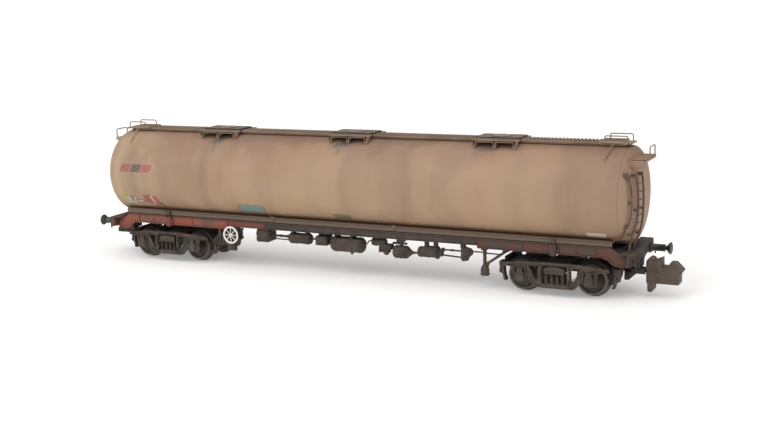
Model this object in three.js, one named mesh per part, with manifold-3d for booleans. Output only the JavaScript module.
import * as THREE from "three";
import { mergeVertices } from "three/addons/utils/BufferGeometryUtils.js";
import Module from "manifold-3d";

const wasm = await Module();
wasm.setup();
const { Manifold, Mesh } = wasm;

// Model tank wagon, millimetres. +X runs along the wagon towards the coupled end, +Y to the far side,
// +Z up. The wheels stand on z = 0 and x = 0 is midway between the bogie pivots.

// Driving sizes
const pivotX = 45.0; // bogie pivots, each side of the middle
const axleOffset = 6.8; // axles, each side of a bogie pivot
const treadR = 3.0;
const flangeR = 3.45;
const overhang = 15.0; // from a pivot to the outer face of its headstock
const headX = pivotX + overhang;
const headThick = 1.0;
const headHalfY = 8.3;
const soleY = 6.8; // outer face of a solebar
const soleThick = 1.0;
const soleTop = 10.25;
const soleLow = 8.2; // lower edge near the bogies
const soleMid = 8.75; // lower edge between them
const tankR = 9.35;
const tankSeat = 9.8; // underside of the barrel
const tankZ = tankSeat + tankR;
const tankInset = 2.5; // from a headstock's face to the barrel's end seam
const tankHalf = headX - tankInset;
const tankWall = 0.6;
const domeDepth = 2.78;
const ledgeY = soleY + 0.1;
const ledgeLow = 10.95;
const ledgeHigh = 11.35;
const walkHalfY = 1.9;
const walkTop = tankZ + tankR + 0.75;
const deckLow = walkTop - 0.4;
const hatchX = [-32, 0, 32];
const hatchHalfX = 4.5;
const hatchHalfY = 4.4;
const bufferY = 5.9;
const bufferZ = 8.0;
const bufferLong = 4.25;
const frameY = 7.55; // outer face of a bogie side frame
const frameThick = 0.8;
const couplerZ = 4.85;

// Clearances
const fitGap = 0.05; // between two pieces fixed together
const boreGap = 0.06; // axle in its wheel or its bearing, measured on the radius
const swingGap = 0.25; // between a bogie and the frame above it

const colours = {
  tank: ["#b0947a", 0.8, 0.0],
  grating: ["#867564", 0.85, 0.0],
  wire: ["#8b7f78", 0.5, 0.6],
  redEnd: ["#83503f", 0.8, 0.0],
  frame: ["#4f463e", 0.85, 0.0],
  gear: ["#554b42", 0.8, 0.0],
  bogie: ["#625850", 0.85, 0.0],
  wheel: ["#57504a", 0.5, 0.7],
  axle: ["#6c665f", 0.45, 0.9],
  buffer: ["#4b4c4b", 0.45, 0.7],
  handwheel: ["#ece7e0", 0.6, 0.0],
  coupler: ["#54463d", 0.7, 0.0],
  pocket: ["#2f2a27", 0.8, 0.0],
  steel: ["#8c8a86", 0.35, 1.0],
};

const group = new THREE.Group();

function solid(geometry) {
  const bare = new THREE.BufferGeometry();
  bare.setAttribute("position", geometry.getAttribute("position"));
  if (geometry.index) bare.setIndex(geometry.index);
  const merged = mergeVertices(bare, 1e-4);
  const index = [];
  for (let i = 0; i < merged.index.count; i += 3) {
    const [a, b, c] = [0, 1, 2].map((k) => merged.index.getX(i + k));
    if (a !== b && b !== c && c !== a) index.push(a, b, c);
  }
  const vertProperties = new Float32Array(merged.attributes.position.array);
  const make = (triVerts) => new Manifold(new Mesh({ numProp: 3, vertProperties, triVerts }));
  const made = make(new Uint32Array(index));
  if (made.volume() > 0) return made;
  for (let i = 0; i < index.length; i += 3) {
    [index[i + 1], index[i + 2]] = [index[i + 2], index[i + 1]];
  }
  return make(new Uint32Array(index));
}

function join(...parts) {
  return Manifold.union(parts.flat());
}

function cut(body, ...tools) {
  return body.subtract(join(...tools));
}

function block(x0, x1, y0, y1, z0, z1) {
  const g = new THREE.BoxGeometry(x1 - x0, y1 - y0, z1 - z0);
  g.translate((x0 + x1) / 2, (y0 + y1) / 2, (z0 + z1) / 2);
  return solid(g);
}

// A polygon of [x, z] points, thickened from y0 to y1.
function plateXZ(points, y0, y1) {
  const shape = new THREE.Shape(points.map(([x, z]) => new THREE.Vector2(x, z)));
  const g = new THREE.ExtrudeGeometry(shape, { depth: y1 - y0, bevelEnabled: false });
  g.rotateX(Math.PI / 2);
  g.translate(0, y1, 0);
  return solid(g);
}

// A polygon of [y, z] points, thickened from x0 to x1.
function plateYZ(points, x0, x1) {
  const shape = new THREE.Shape(points.map(([y, z]) => new THREE.Vector2(y, z)));
  const g = new THREE.ExtrudeGeometry(shape, { depth: x1 - x0, bevelEnabled: false });
  g.rotateX(Math.PI / 2);
  g.rotateZ(Math.PI / 2);
  g.translate(x0, 0, 0);
  return solid(g);
}

// A closed profile of [radius, height] points, turned about Z.
function turned(profile, steps) {
  const points = profile.map(([r, h]) => new THREE.Vector2(r, h));
  points.push(points[0].clone());
  const g = new THREE.LatheGeometry(points, steps);
  g.rotateX(Math.PI / 2);
  return solid(g);
}

function disc(r, h0, h1, steps = 24) {
  return turned([[0, h0], [r, h0], [r, h1], [0, h1]], steps);
}

function alongX(body, x, y, z) {
  return body.rotate([0, 90, 0]).translate([x, y, z]);
}

function alongY(body, x, y, z) {
  return body.rotate([-90, 0, 0]).translate([x, y, z]);
}

// Round wire through a list of [x, y, z] points.
function rod(points, r, steps = 6) {
  const path = points.map((p) => new THREE.Vector3(...p));
  const position = [];
  const index = [];
  let side = new THREE.Vector3(0.31, 0.57, 0.76);
  path.forEach((p, i) => {
    const back = i > 0 ? p.clone().sub(path[i - 1]).normalize() : null;
    const on = i < path.length - 1 ? path[i + 1].clone().sub(p).normalize() : null;
    const along = new THREE.Vector3();
    if (back) along.add(back);
    if (on) along.add(on);
    along.normalize();
    const stretch = back && on ? 1 / Math.max(0.5, along.dot(on)) : 1;
    side.addScaledVector(along, -side.dot(along)).normalize();
    const up = along.clone().cross(side);
    const bend = back && on ? on.clone().sub(back) : new THREE.Vector3();
    const bendUnit = bend.length() > 1e-6 ? bend.normalize() : null;
    for (let k = 0; k < steps; k++) {
      const a = (2 * Math.PI * k) / steps;
      const d = side.clone().multiplyScalar(r * Math.cos(a)).addScaledVector(up, r * Math.sin(a));
      if (bendUnit) d.addScaledVector(bendUnit, (stretch - 1) * d.dot(bendUnit));
      position.push(p.x + d.x, p.y + d.y, p.z + d.z);
    }
  });
  for (let i = 0; i < path.length - 1; i++) {
    for (let k = 0; k < steps; k++) {
      const a = i * steps + k;
      const b = i * steps + ((k + 1) % steps);
      index.push(a, b, a + steps, b, b + steps, a + steps);
    }
  }
  const last = (path.length - 1) * steps;
  for (let k = 1; k < steps - 1; k++) {
    index.push(0, k + 1, k, last, last + k, last + k + 1);
  }
  const g = new THREE.BufferGeometry();
  g.setAttribute("position", new THREE.Float32BufferAttribute(position, 3));
  g.setIndex(index);
  return solid(g);
}

function turnHalf(body) {
  return body.rotate([0, 0, 180]);
}

function add(name, body, look) {
  const m = body.getMesh();
  const g = new THREE.BufferGeometry();
  g.setAttribute("position", new THREE.BufferAttribute(new Float32Array(m.vertProperties), 3));
  g.setIndex(new THREE.BufferAttribute(new Uint32Array(m.triVerts), 1));
  g.computeVertexNormals();
  const [color, roughness, metalness] = colours[look];
  const material = new THREE.MeshStandardMaterial({ color, roughness, metalness });
  const mesh = new THREE.Mesh(g, material);
  mesh.name = name;
  group.add(mesh);
}

// Tank: an open barrel, two dished ends and the loose weight that lies in it.

const tankAxis = (body, x) => alongX(body, x, 0, tankZ);

function barrelOver(extra) {
  return tankAxis(disc(tankR + extra, -tankHalf - extra, tankHalf + extra, 96), 0);
}

const barrelTube = tankAxis(
  turned(
    [
      [tankR - tankWall, -tankHalf],
      [tankR, -tankHalf],
      [tankR, tankHalf],
      [tankR - tankWall, tankHalf],
    ],
    96,
  ),
  0,
);
const boreOfBarrel = tankAxis(disc(tankR - tankWall, -tankHalf - 1, tankHalf + 1, 96), 0);
const ledges = [-1, 1].map((s) => {
  const [y0, y1] = [4.2 * s, ledgeY * s].sort((a, b) => a - b);
  return block(1.5 - tankHalf, tankHalf - 1.5, y0, y1, ledgeLow, ledgeHigh);
});
const ledgeTabs = [-17.5, 11.2].flatMap((x) =>
  [-1, 1].map((s) => {
    const [y0, y1] = [(ledgeY - 0.4) * s, (ledgeY + 0.25) * s].sort((a, b) => a - b);
    return block(x - 0.5, x + 0.5, y0, y1, ledgeLow - 0.25, ledgeHigh);
  }),
);
add("tank_barrel", cut(join(barrelTube, ledges, ledgeTabs), boreOfBarrel), "tank");

// Height of a dished end over its seam at radius r.
function dish(r, radius = tankR, depth = domeDepth) {
  return depth * Math.pow(Math.max(0, 1 - Math.pow(r / radius, 2.6)), 1 / 2.2);
}

function dishProfile(radius, depth, from) {
  const rings = 9;
  const out = [];
  for (let i = 0; i <= rings; i++) {
    const a = (i / rings) * (Math.PI / 2);
    const r = radius * Math.pow(Math.cos(a), 0.8);
    out.push([i === rings ? 0 : r, from + dish(r, radius, depth)]);
  }
  return out;
}

const spigotR = tankR - tankWall - fitGap;
const endCap = tankAxis(
  turned(
    [
      [0, tankHalf - 1.2],
      [spigotR, tankHalf - 1.2],
      [spigotR, tankHalf + fitGap],
      ...dishProfile(tankR, domeDepth, tankHalf + fitGap),
    ],
    56,
  ),
  0,
);
add("tank_end_b", endCap, "tank");
add("tank_end_a", turnHalf(endCap), "tank");

const dishSeat = tankHalf - 3;
const dishSolid = tankAxis(
  turned([[0, dishSeat], [tankR, dishSeat], ...dishProfile(tankR, domeDepth, tankHalf + fitGap)], 72),
  0,
);
const tankOver = join(barrelOver(fitGap), dishSolid.translate([fitGap, 0, 0]));

const weightHalfY = 3.4;
const weightLow = tankZ - Math.sqrt(spigotR * spigotR - weightHalfY * weightHalfY);
const weightHalfX = tankHalf - 19.5;
const weight = block(-weightHalfX, weightHalfX, -weightHalfY, weightHalfY, weightLow, weightLow + 2.2);
add("ballast_weight", weight, "steel");

// Top walkway: a deck on two runners, with a raised saddle of grating round each manhole.
const walkHalfX = tankHalf - 5.7;
const runners = [-1.4, 1.4].map((y) => {
  return block(-walkHalfX, walkHalfX, y - 0.2, y + 0.2, walkTop - 1.0, deckLow + 0.05);
});
const walkDeck = block(-walkHalfX, walkHalfX, -walkHalfY, walkHalfY, deckLow, walkTop);
add("walkway", cut(join(walkDeck, runners), barrelOver(fitGap)), "grating");

function hatchPlatform(x) {
  const x0 = x - hatchHalfX;
  const x1 = x + hatchHalfX;
  const raised = walkTop + fitGap;
  const over = block(x0, x1, -walkHalfY - 0.4, walkHalfY + 0.4, raised, raised + 0.3);
  const wings = [-1, 1].flatMap((s) => {
    const inner = (walkHalfY + 0.1) * s;
    const outer = hatchHalfY * s;
    const [y0, y1] = [inner, outer].sort((a, b) => a - b);
    const wing = block(x0, x1, y0, y1, deckLow, walkTop - 0.1);
    const [r0, r1] = [inner, inner + 0.35 * s].sort((a, b) => a - b);
    const riser = block(x0, x1, r0, r1, deckLow, raised + 0.3);
    const posts = [x0 + 0.2, x - 0.15, x1 - 0.5].map((px) => {
      const [p0, p1] = [outer - 0.3 * s, outer].sort((a, b) => a - b);
      return block(px, px + 0.3, p0, p1, walkTop - 2.75, walkTop - 0.25);
    });
    return [wing, riser, ...posts];
  });
  return cut(join(over, wings), barrelOver(fitGap));
}

hatchX.forEach((x, i) => {
  add("manhole_platform_" + (i + 1), hatchPlatform(x), "grating");
  const base = walkTop + fitGap + 0.3 + fitGap;
  const lid = turned(
    [
      [0, base],
      [1.9, base],
      [1.9, base + 0.14],
      [1.55, base + 0.22],
      [0, base + 0.24],
    ],
    24,
  );
  const handle = block(-0.9, 0.9, -0.14, 0.14, base + 0.1, base + 0.42);
  add("manhole_lid_" + (i + 1), join(lid, handle).translate([x, 0, 0]), "tank");
});

// End platforms with their wire rails, for end b; end a is the same turned half round.
const seamX = tankHalf;

function loopRail(y) {
  return rod(
    [
      [seamX - 4.4, y, walkTop - 0.15],
      [seamX - 4.4, y, walkTop + 0.9],
      [seamX - 4.1, y, walkTop + 1.15],
      [seamX - 0.3, y, walkTop + 1.15],
      [seamX, y, walkTop + 0.9],
      [seamX, y, walkTop - 0.15],
    ],
    0.13,
  );
}

const endDeck = block(seamX - 5.5, seamX - 0.8, -2.2, 2.2, walkTop - 0.25, walkTop + 0.2);
const endDrop = block(seamX - 1.1, seamX + 0.6, -2.2, 2.2, deckLow, walkTop - 0.1);
const endRunners = [-1.4, 1.4].map((y) => {
  return block(seamX - 5.5, seamX - 0.3, y - 0.2, y + 0.2, walkTop - 1.0, walkTop - 0.05);
});
const endStays = [-1, 1].map((s) =>
  rod(
    [
      [seamX - 2.5, 2.0 * s, walkTop - 0.1],
      [seamX - 2.9, s * (tankR + 0.49) * Math.sin(0.4523), tankZ + (tankR + 0.49) * Math.cos(0.4523)],
      [seamX - 3.2, s * (tankR + 0.11) * Math.sin(0.7145), tankZ + (tankR + 0.11) * Math.cos(0.7145)],
    ],
    0.14,
  ),
);
const endPlatform = cut(
  join(endDeck, endDrop, endRunners, endStays, loopRail(-1.95), loopRail(1.95)),
  tankOver,
);
add("end_platform_b", endPlatform, "grating");
add("end_platform_a", turnHalf(endPlatform), "grating");

// Ladder side: points just off the dished end at a given y.
function offDish(y, z, off) {
  const r = Math.hypot(y, z - tankZ);
  return [tankHalf + dish(Math.min(r, tankR)) + off, y, z];
}

const stepZ = tankZ + 0.786 * tankR;

function endStep() {
  const out = seamX + 4.3;
  const nearY = 3.75 - tankR;
  const plate = block(seamX + 0.1, out, nearY, 2.0, stepZ, stepZ + 0.25);
  const skirt = block(out - 0.35, out, nearY, 2.0, stepZ - 0.4, stepZ + 0.25);
  const cheeks = [nearY, -1.9, 1.7].map((y) =>
    plateXZ(
      [
        [seamX - 0.1, stepZ + 0.1],
        [seamX - 0.1, stepZ - 1.6],
        [seamX + 1.8, stepZ - 1.6],
        [out - 0.1, stepZ - 0.3],
        [out - 0.1, stepZ + 0.1],
      ],
      y,
      y + 0.3,
    ),
  );
  const rail = rod(
    [
      [out - 0.2, -1.9, stepZ + 0.1],
      [out - 0.2, -1.9, stepZ + 1.7],
      [out - 0.2, -1.6, stepZ + 2.05],
      [out - 0.2, 1.5, stepZ + 2.05],
      [out - 0.2, 1.8, stepZ + 1.7],
      [out - 0.2, 1.8, stepZ + 0.1],
    ],
    0.14,
  );
  return cut(join(plate, skirt, cheeks, rail), tankOver);
}
const stepB = endStep();
add("end_step_b", stepB, "tank");
add("end_step_a", turnHalf(stepB), "tank");

const ladderY = [3.25 - tankR, 5.75 - tankR];
const ladderTop = tankZ + 0.54 * tankR;
const ladderFoot = tankZ - 0.7 * tankR;
const ladderOff = 0.75;
const railOff = 0.6;
const headTop = 9.4;

function ladder() {
  const stiles = ladderY.map((y) => {
    const points = [];
    for (let z = ladderTop; z > ladderFoot; z -= 0.9) points.push(offDish(y, z, ladderOff));
    points.push([headX - 1.1, y, headTop + fitGap]);
    return rod(points, 0.2);
  });
  const rungs = [];
  for (let z = ladderTop - 0.6; z > ladderFoot; z -= 1.65) {
    rungs.push(rod(ladderY.map((y) => offDish(y, z, ladderOff)), 0.13));
  }
  const feet = [0.5, -0.18, -0.64].flatMap((share) =>
    ladderY.map((y) => {
      const z = tankZ + share * tankR;
      const at = offDish(y, z, ladderOff);
      return block(at[0] - 1.6, at[0], y - 0.18, y + 0.18, z - 0.25, z + 0.25);
    }),
  );
  return join(stiles, rungs, feet);
}

// The handrail beside the ladder leans in towards both ends and lands on the barrel's ledge.
function handrail() {
  const beside = (z, out) => -Math.sqrt((tankR + out) ** 2 - (z - tankZ) ** 2);
  const lean = (z) => 1.45 - tankR + 0.05 * Math.abs(z - tankZ);
  const points = [];
  for (let z = ladderTop; z > tankZ - 0.55 * tankR; z -= 0.9) {
    points.push(offDish(lean(z), z, railOff));
  }
  points.push([seamX + 0.8, beside(ledgeHigh + 1.55, 0.26), ledgeHigh + 1.55]);
  points.push([seamX - 0.1, beside(ledgeHigh + 0.65, 0.59), ledgeHigh + 0.65]);
  points.push([seamX - 1.7, beside(ledgeHigh + 0.25, 0.68), ledgeHigh + 0.25]);
  const feet = [0.45, -0.02, -0.49].map((share) => {
    const z = tankZ + share * tankR;
    const at = offDish(lean(z), z, railOff);
    return block(at[0] - 1.5, at[0], at[1] - 0.15, at[1] + 0.15, z - 0.35, z + 0.35);
  });
  const tieZ = tankZ + 0.45 * tankR;
  const tie = rod([offDish(lean(tieZ), tieZ, railOff), offDish(ladderY[0], tieZ, ladderOff)], 0.17);
  return join(rod(points, 0.19), feet, tie);
}
const ladderB = cut(join(ladder(), handrail()), tankOver);
add("ladder_b", ladderB, "wire");
add("ladder_a", turnHalf(ladderB), "wire");

// Underframe: solebars, headstocks and the centre sill with its crossbearers.

const soleEnd = headX - headThick - fitGap;
const soleHalf = [
  [soleEnd, 6.6],
  [headX - 3.5, 6.65],
  [headX - 4.1, 6.95],
  [headX - 4.7, 7.5],
  [headX - 5.2, 7.95],
  [headX - 5.8, 8.15],
  [headX - 6.3, soleLow],
  [29.2, soleLow],
  [29.2, soleMid],
];
const soleTopEdge = [
  [-soleEnd, 9.15],
  [2.7 - headX, 9.15],
  [4.6 - headX, soleTop],
  [headX - 4.6, soleTop],
  [headX - 2.7, 9.15],
  [soleEnd, 9.15],
];
const soleProfile = [...soleTopEdge, ...soleHalf, ...soleHalf.map(([x, z]) => [-x, z]).reverse()];
const bracketX = pivotX - 0.4;

function solebar(s) {
  const [y0, y1] = [(soleY - soleThick) * s, soleY * s].sort((a, b) => a - b);
  const web = plateXZ(soleProfile, y0, y1);
  const brackets = [-bracketX, bracketX].flatMap((x) => {
    const [b0, b1] = [(soleY - 0.1) * s, (soleY + 0.6) * s].sort((a, b) => a - b);
    const [c0, c1] = [(ledgeY + 0.1) * s, (soleY + 0.6) * s].sort((a, b) => a - b);
    return [
      block(x - 0.7, x + 0.7, b0, b1, soleLow - 0.2, soleTop - 0.1),
      block(x - 0.55, x + 0.55, c0, c1, soleTop - 0.3, 11.5),
    ];
  });
  return join(web, brackets);
}
add("solebar_near", solebar(-1), "redEnd");
add("solebar_far", solebar(1), "redEnd");

const headHalf = [
  [headHalfY - 0.35, headTop],
  [headHalfY, 9.05],
  [headHalfY, 7.2],
  [4.4, 7.3],
  [3.2, 7.25],
  [2.3, 6.95],
  [1.75, 6.45],
  [1.6, 5.9],
  [1.6, 5.45],
];
const headProfile = [...headHalf, ...headHalf.map(([y, z]) => [-y, z]).reverse()];
const socketR = 0.5;

const headPlate = join(
  plateYZ(headProfile, headX - headThick, headX),
  block(headX - 2.5, headX - 0.1, -headHalfY + 0.2, headHalfY - 0.2, headTop - 0.2, headTop),
);
const sockets = [-1, 1].map((s) => {
  return alongX(disc(socketR, headX - 0.75, headX + 1, 16), 0, s * bufferY, bufferZ);
});
const headstock = cut(headPlate, sockets);
add("headstock_b", headstock, "frame");
add("headstock_a", turnHalf(headstock), "frame");

// A buffer: housing, shank and domed head, with a spigot that plugs into the headstock.
const buffer = turned(
  [
    [0, headX - 0.7],
    [socketR - fitGap, headX - 0.7],
    [socketR - fitGap, headX + fitGap],
    [0.95, headX + fitGap],
    [0.95, headX + 0.4],
    [0.72, headX + 0.5],
    [0.7, headX + 2.8],
    [0.4, headX + 2.85],
    [0.4, headX + 3.1],
    [0.75, headX + 3.3],
    [1.2, headX + 3.85],
    [1.2, headX + 4.0],
    [0.8, headX + bufferLong - 0.08],
    [0, headX + bufferLong],
  ],
  20,
);
const bufferB = alongX(buffer, 0, bufferY, bufferZ);
add("buffer_b_far", bufferB, "buffer");
add("buffer_a_near", turnHalf(bufferB), "buffer");
add("buffer_a_far", turnHalf(alongX(buffer, 0, -bufferY, bufferZ)), "buffer");

const floorTop = tankSeat - fitGap;
const floorHalfX = headX - 2.6;
const floorHalfY = soleY - soleThick - fitGap;
const floorPlate = block(-floorHalfX, floorHalfX, -floorHalfY, floorHalfY, 9.15, floorTop);
const centreSill = block(-floorHalfX, floorHalfX, -1.7, 1.7, soleMid, 9.3);
const bearers = [-pivotX, -20, 0, 20, pivotX].map((x) => {
  return block(x - 1.1, x + 1.1, -floorHalfY, floorHalfY, soleMid, 9.3);
});
const screwR = 0.69;
const pivots = [-pivotX, pivotX];
const pivotBosses = pivots.map((x) => disc(1.6, 6.5, soleMid + 0.2).translate([x, 0, 0]));
const screwBores = pivots.map((x) => disc(screwR + boreGap, 6, 9.4, 16).translate([x, 0, 0]));
const drawBoxes = [-1, 1].map((s) => {
  const [x0, x1] = [(floorHalfX - 1) * s, (headX - headThick - fitGap) * s].sort((a, b) => a - b);
  return block(x0, x1, -1.7, 1.7, 7.4, headTop - 0.2 - fitGap);
});
const floorBody = join(floorPlate, centreSill, bearers, pivotBosses, drawBoxes);
add("underframe_floor", cut(floorBody, screwBores), "frame");

[-1, 1].forEach((s) => {
  const screw = turned(
    [
      [0, 3.7],
      [1.3, 3.7],
      [1.4, 3.8],
      [1.4, 4.3],
      [screwR, 4.3],
      [screwR, 9.2],
      [0, 9.2],
    ],
    20,
  );
  const slot = block(-2, 2, -0.15, 0.15, 3, 3.95);
  add("pivot_screw_" + (s < 0 ? "a" : "b"), cut(screw, slot).translate([s * pivotX, 0, 0]), "steel");
});

// Brake and discharge gear hung under the middle, near side.

const gearTop = soleMid - fitGap;
const gearY = 1.5 - soleY; // middle line of the gear

function spokedWheel(r) {
  const rim = turned(
    [
      [r - 0.28, -0.17],
      [r, -0.17],
      [r, 0.17],
      [r - 0.28, 0.17],
    ],
    28,
  );
  const hub = disc(0.36, -0.22, 0.22, 16);
  const spokes = [];
  for (let k = 0; k < 8; k++) {
    spokes.push(block(0.2, r - 0.15, -0.09, 0.09, -0.1, 0.1).rotate([0, 0, 45 * k]));
  }
  return join(rim, hub, spokes);
}
const wheelX = -27.15;
const wheelZ = 7.4;
const wheelY = gearY - 3.3;
const wheelEye = disc(0.12 + fitGap, -1, 1, 12);
add("handwheel", alongY(cut(spokedWheel(1.9), wheelEye), wheelX, wheelY, wheelZ), "handwheel");

const wheelPost = join(
  alongY(disc(0.12, -0.2, 2.2, 12), wheelX, wheelY, wheelZ),
  block(wheelX - 0.45, wheelX + 0.45, gearY - 1.9, gearY - 1.1, 6.4, 8.5),
  block(wheelX - 0.45, wheelX + 0.45, gearY - 1.3, gearY + 0.1, 8.2, gearTop),
  block(-32.4, -26.7, gearY - 1.2, gearY - 0.6, 4.6, 6.6),
  block(-31.8, -31.2, gearY - 1.2, gearY - 0.6, 4.3, soleLow - fitGap),
  block(-29.6, -27.4, gearY - 1.4, gearY - 0.4, 3.4, 5.4),
);
add("handwheel_stand", wheelPost, "gear");

const boxShell = block(-21.9, -18.9, gearY - 1.3, gearY + 2.1, 5.9, gearTop);
const boxDoor = block(-21.7, -19.1, gearY - 1.45, gearY - 1.2, 6.1, 8.3);
add("equipment_box", join(boxShell, boxDoor), "gear");

const canister = join(
  alongX(disc(1.15, -14.2, -8.9, 24), 0, gearY - 0.1, 7.1),
  block(-13.6, -13.0, gearY - 0.7, gearY + 0.7, 7.2, gearTop),
  block(-10.2, -9.6, gearY - 0.7, gearY + 0.7, 7.2, gearTop),
  rod(
    [
      [-18.75, gearY - 0.1, 7.3],
      [-14.0, gearY - 0.1, 7.3],
    ],
    0.3,
  ),
  block(-7.5, -4.75, gearY - 1.1, gearY + 1.7, 6.1, 8.05),
  block(-7.1, -5.1, gearY - 0.3, gearY + 1.1, 7.9, gearTop),
  block(-9.0, -7.4, gearY - 0.4, gearY + 0.2, 7.0, 7.4),
);
add("strainer_and_relay", canister, "gear");

const tankAir = join(
  turned(
    [
      [0, -4.15],
      [0.7, -4.1],
      [1.3, -3.85],
      [1.62, -3.4],
      [1.62, 3.0],
      [1.3, 3.4],
      [0.7, 3.65],
      [0, 3.7],
    ],
    20,
  )
    .rotate([0, 90, 0])
    .translate([0, gearY, 6.6]),
  [-3.3, 1.0].map((x) => alongX(disc(1.72, x - 0.2, x + 0.2, 20), 0, gearY, 6.6)),
  [-3.3, 1.0].map((x) => block(x - 0.2, x + 0.2, gearY - 0.6, gearY + 0.6, 7.8, gearTop)),
  disc(0.35, 4.55, 5.2, 12).translate([0.6, gearY, 0]),
);
add("air_reservoir", tankAir, "gear");

const valve = join(
  alongX(disc(0.82, 5.5, 8.6, 20), 0, gearY, 7.65),
  block(7.3, 10.0, gearY - 0.8, gearY + 0.8, 5.5, 7.3),
  disc(0.5, 5.1, 5.7, 14).translate([8.6, gearY, 0]),
  block(6.4, 7.6, gearY - 0.4, gearY + 0.4, 8.2, gearTop),
);
add("distributor_valve", valve, "gear");

const smallAir = join(
  turned(
    [
      [0, 10.3],
      [0.9, 10.35],
      [1.3, 10.7],
      [1.3, 13.3],
      [0.75, 14.3],
      [0.35, 14.9],
      [0, 14.9],
    ],
    24,
  )
    .rotate([0, 90, 0])
    .translate([0, gearY, 5.9]),
  block(11.4, 12.6, gearY - 0.4, gearY + 0.4, 6.9, gearTop),
);
add("auxiliary_reservoir", smallAir, "gear");

const brakeCylinder = [
  alongX(disc(1.05, 15.9, 20.2, 24), 0, gearY, 6.3),
  alongX(disc(1.25, 19.9, 20.3, 24), 0, gearY, 6.3),
  alongX(disc(0.7, 20.2, 21.2, 20), 0, gearY, 6.3),
  block(17.0, 20.4, gearY - 0.7, gearY + 0.7, 7.0, 7.5),
  block(17.4, 18.0, gearY - 0.5, gearY + 0.5, 7.4, gearTop),
  block(19.4, 20.0, gearY - 0.5, gearY + 0.5, 7.4, gearTop),
  rod(
    [
      [21.0, gearY, 5.95],
      [25.3, gearY, 5.95],
    ],
    0.2,
  ),
];
const brakeLevers = [
  block(25.2, 26.0, gearY - 0.6, gearY + 0.6, 5.3, gearTop),
  plateXZ(
    [
      [25.3, 8.0],
      [27.6, 7.6],
      [27.7, 6.4],
      [26.8, 5.2],
      [25.3, 5.2],
    ],
    gearY - 0.3,
    gearY + 0.3,
  ),
  rod(
    [
      [22.0, gearY, 7.05],
      [25.4, gearY, 7.05],
    ],
    0.2,
  ),
  rod(
    [
      [27.2, gearY, 7.1],
      [29.6, gearY, 7.15],
    ],
    0.18,
  ),
];
add("brake_cylinder", join(brakeCylinder, brakeLevers), "gear");

const discharge = join(
  block(29.9, 30.7, gearY - 0.8, gearY, 4.6, 8.15),
  rod(
    [
      [30.6, gearY - 0.4, 4.9],
      [35.0, gearY - 0.4, 7.95],
    ],
    0.22,
  ),
  disc(0.85, 3.0, 4.7, 20).translate([30.3, gearY - 0.4, 0]),
  disc(1.05, 2.65, 3.15, 20).translate([30.3, gearY - 0.4, 0]),
  block(34.2, 35.4, gearY - 1, gearY + 0.2, 7.75, soleLow - fitGap),
  block(29.7, 30.9, gearY - 1, gearY + 0.2, 7.75, soleLow - fitGap),
);
add("discharge_pipe", discharge, "gear");

// Bogies. Local x runs from the pivot; both bogies are the same casting turned half round.

const frameHalf = [
  [3, 6.55],
  [axleOffset + 0.2, 6.35],
  [axleOffset + 3.7, 5.95],
  [axleOffset + 3.7, 5.5],
  [axleOffset + 1.6, 5.3],
  [axleOffset + 1.4, 2.9],
  [axleOffset + 0.9, 2.5],
  [axleOffset - 0.8, 2.5],
  [axleOffset - 1.2, 2.9],
  [axleOffset - 1.5, 3.3],
  [axleOffset - 2.7, 1.9],
  [axleOffset - 3.1, 1.65],
];
const frameOuter = [...frameHalf, ...frameHalf.map(([u, z]) => [-u, z]).reverse()];
const windowHalf = 2.45;
const springX = [-1.65, -0.55, 0.55, 1.65];

function sideFrame(pivot, s) {
  const outer = frameY * s;
  const inner = (frameY - frameThick) * s;
  const [y0, y1] = [inner, outer].sort((a, b) => a - b);
  const window = block(-windowHalf, windowHalf, y0 - 1, y1 + 1, 2.6, 5.95);
  const gaps = [-1, 1].map((k) =>
    plateXZ(
      [
        [(windowHalf + 0.75) * k, 3.3],
        [(windowHalf + 1.15) * k, 3.1],
        [(axleOffset - 1.6) * k, 5.75],
        [(windowHalf + 0.75) * k, 5.75],
      ],
      y0 - 1,
      y1 + 1,
    ),
  );
  const mid = (y0 + y1) / 2;
  const coils = springX.map((x) => disc(0.42, 2.5, 4.6, 10).translate([x, mid, 0]));
  const [c0, c1] = [inner + 0.05 * s, outer + 0.15 * s].sort((a, b) => a - b);
  const cap = block(-2.1, 2.1, c0, c1, 4.45, 5.3);
  const boxes = [-1, 1].flatMap((k) => {
    const [a0, a1] = [outer - 0.2 * s, outer + 0.55 * s].sort((a, b) => a - b);
    return [
      block(k * axleOffset - 0.85, k * axleOffset + 0.85, a0, a1, flangeR - 0.75, flangeR + 1.05),
      block(k * axleOffset - 0.55, k * axleOffset + 0.55, a0, a1, flangeR + 0.85, flangeR + 1.95),
    ];
  });
  const bores = [-1, 1].map((k) => {
    const [b0, b1] = [inner - 0.5 * s, outer - 0.15 * s].sort((a, b) => a - b);
    return alongY(disc(0.4 + boreGap, b0, b1, 14), k * axleOffset, 0, flangeR);
  });
  const body = join(cut(plateXZ(frameOuter, y0, y1), window, gaps), coils, cap, boxes);
  return cut(body, bores).translate([pivot, 0, 0]);
}

// Cross beam with the pivot eye, two long ties and the brake shoes at both ends.
const wheelEnd = axleOffset + flangeR;

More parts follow.
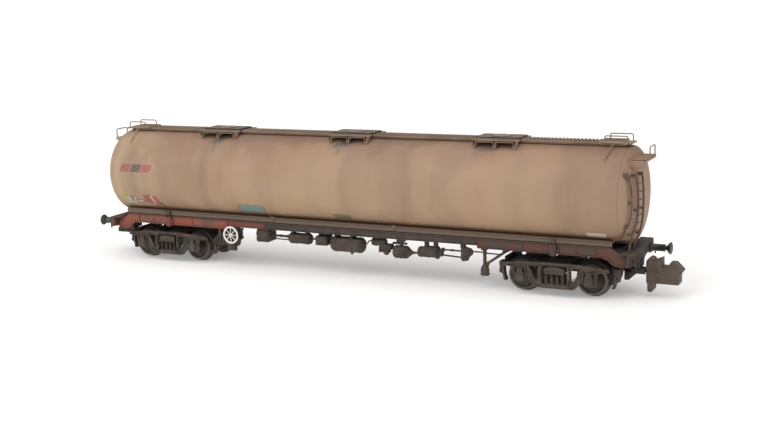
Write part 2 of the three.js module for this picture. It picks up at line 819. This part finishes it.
function bogieBeam(pivot) {
  const beamHalfY = frameY - frameThick - fitGap;
  const beam = block(-2.0, 2.0, -beamHalfY, beamHalfY, 4.6, 6.1);
  const eye = disc(2.2, 4.6, soleMid - 2.25 - swingGap, 28);
  const tieHalf = wheelEnd + 1.35;
  const ties = [-2.4, 2.4].map((y) => block(-tieHalf, tieHalf, y - 0.35, y + 0.35, 4.75, 5.4));
  const ends = [-1, 1].flatMap((k) => {
    const [x0, x1] = [(wheelEnd + 0.65) * k, (wheelEnd + 1.45) * k].sort((a, b) => a - b);
    const bar = block(x0, x1, -5.3, 5.3, 4.6, 5.3);
    const shoes = [-4.6, 4.6].map((y) => {
      const hanger = plateXZ(
        [
          [(wheelEnd + 0.5) * k, 5.5],
          [(wheelEnd + 1.5) * k, 5.5],
          [(wheelEnd + 1.7) * k, 4.2],
          [(wheelEnd + 1.05) * k, 1.9],
          [(wheelEnd + 0.15) * k, 1.9],
          [(wheelEnd + 0.6) * k, 3.4],
        ],
        y - 0.65,
        y + 0.65,
      );
      return hanger;
    });
    return [bar, ...shoes];
  });
  const whole = cut(join(beam, eye, ties, ends), disc(0.85, 4, 9, 20));
  return whole.translate([pivot, 0, 0]);
}

// A turned wheel with its flange towards the middle and a dished web, for the side s.
const axleR = 0.5;

function wheel(x, s) {
  const profile = [
    [axleR + boreGap, 3.7],
    [flangeR - 0.25, 3.7],
    [flangeR, 3.9],
    [flangeR, 4.1],
    [treadR + 0.04, 4.4],
    [treadR - 0.06, 5.5],
    [treadR - 0.55, 5.5],
    [treadR - 0.7, 5.15],
    [1.15, 5.05],
    [1.0, 5.45],
    [axleR + boreGap, 5.45],
  ];
  const body = turned(profile, 28);
  return alongY(s > 0 ? body : body.rotate([180, 0, 0]), x, 0, flangeR);
}

const axle = turned(
  [
    [0, -7.3],
    [0.4, -6.9],
    [0.4, -6.2],
    [axleR, -6.1],
    [axleR, 6.1],
    [0.4, 6.2],
    [0.4, 6.9],
    [0, 7.3],
  ],
  14,
);

// Coupler pocket: an arm off the cross bar that carries the hook in its mouth.
function pocket(pivot, reach) {
  const from = wheelEnd + 1.5;
  const arm = block(from, reach, -1.15, 1.15, couplerZ - 0.6, couplerZ + 0.4);
  const brace = plateXZ(
    [
      [from, 5.2],
      [from + 1.85, 5.2],
      [from + 2.45, 4.4],
      [from + 0.85, 2.9],
      [from, 2.9],
    ],
    -1.15,
    1.15,
  );
  return join(arm, brace).translate([pivot, 0, 0]);
}

[-1, 1].forEach((end) => {
  const tag = end < 0 ? "a" : "b";
  const pivot = end * pivotX;
  add("bogie_" + tag + "_frame_near", sideFrame(pivot, -1), "bogie");
  add("bogie_" + tag + "_frame_far", sideFrame(pivot, 1), "bogie");
  add("bogie_" + tag + "_beam", bogieBeam(pivot), "bogie");
  [-1, 1].forEach((k, i) => {
    const x = pivot + k * axleOffset;
    const set = "wheelset_" + tag + (i + 1);
    add(set + "_axle", alongY(axle, x, 0, flangeR), "axle");
    add(set + "_wheel_near", wheel(x, -1), "wheel");
    add(set + "_wheel_far", wheel(x, 1), "wheel");
  });
});

// The empty pocket at end a, and the one at end b with its spring and hook.
const stub = pocket(pivotX, overhang + 3.9);
const stubHole = block(headX + 2.4, headX + 5, -0.7, 0.7, couplerZ - 0.3, couplerZ + 0.1);
add("bogie_a_coupler_pocket", turnHalf(cut(stub, stubHole)), "pocket");

const mouth = block(headX - 1.8, headX + 2, -0.75, 0.75, couplerZ - 0.9, couplerZ + 0.9);
add("bogie_b_coupler_pocket", cut(pocket(pivotX, overhang + 0.75), mouth), "pocket");

const hookSide = [
  [headX + 1, 2.75],
  [headX + 1.2, 2.75],
  [headX + 1.25, 1.25],
  [headX + 1.5, 1.0],
  [headX + 2, 1.0],
  [headX + 2.25, 1.25],
  [headX + 2.3, 2.75],
  [headX + 7.1, 2.75],
  [headX + 7.1, 4.4],
  [headX + 7.75, 5.3],
  [headX + 6.3, 6.75],
  [headX + 5.3, 6.75],
  [headX + 5.3, 5.85],
  [headX + 3.8, 5.85],
  [headX + 3.75, 7.5],
  [headX + 2.4, 6.9],
  [headX + 2.2, 7.3],
  [headX + 1.9, 7.45],
  [headX + 1.4, 7.45],
  [headX + 1.05, 7.1],
  [headX + 0.95, 6.4],
  [headX + 1, 5.4],
];
const hook = join(
  cut(plateXZ(hookSide, -1.5, 1.5), block(headX + 2.9, headX + 6.6, -1.0, 1.0, 2, 5.3)),
  block(headX - 0.8, headX + 1.2, -0.6, 0.6, couplerZ - 0.35, couplerZ + 0.3),
);
add("coupler_hook", hook, "coupler");

const coil = [];
for (let i = 0; i <= 30; i++) {
  const a = (i / 30) * 2 * Math.PI * 3;
  coil.push([headX - 1.65 + (0.75 * i) / 30, 0.26 * Math.cos(a), couplerZ + 0.26 * Math.sin(a)]);
}
add("coupler_spring", rod(coil, 0.07, 5), "steel");

export default group;
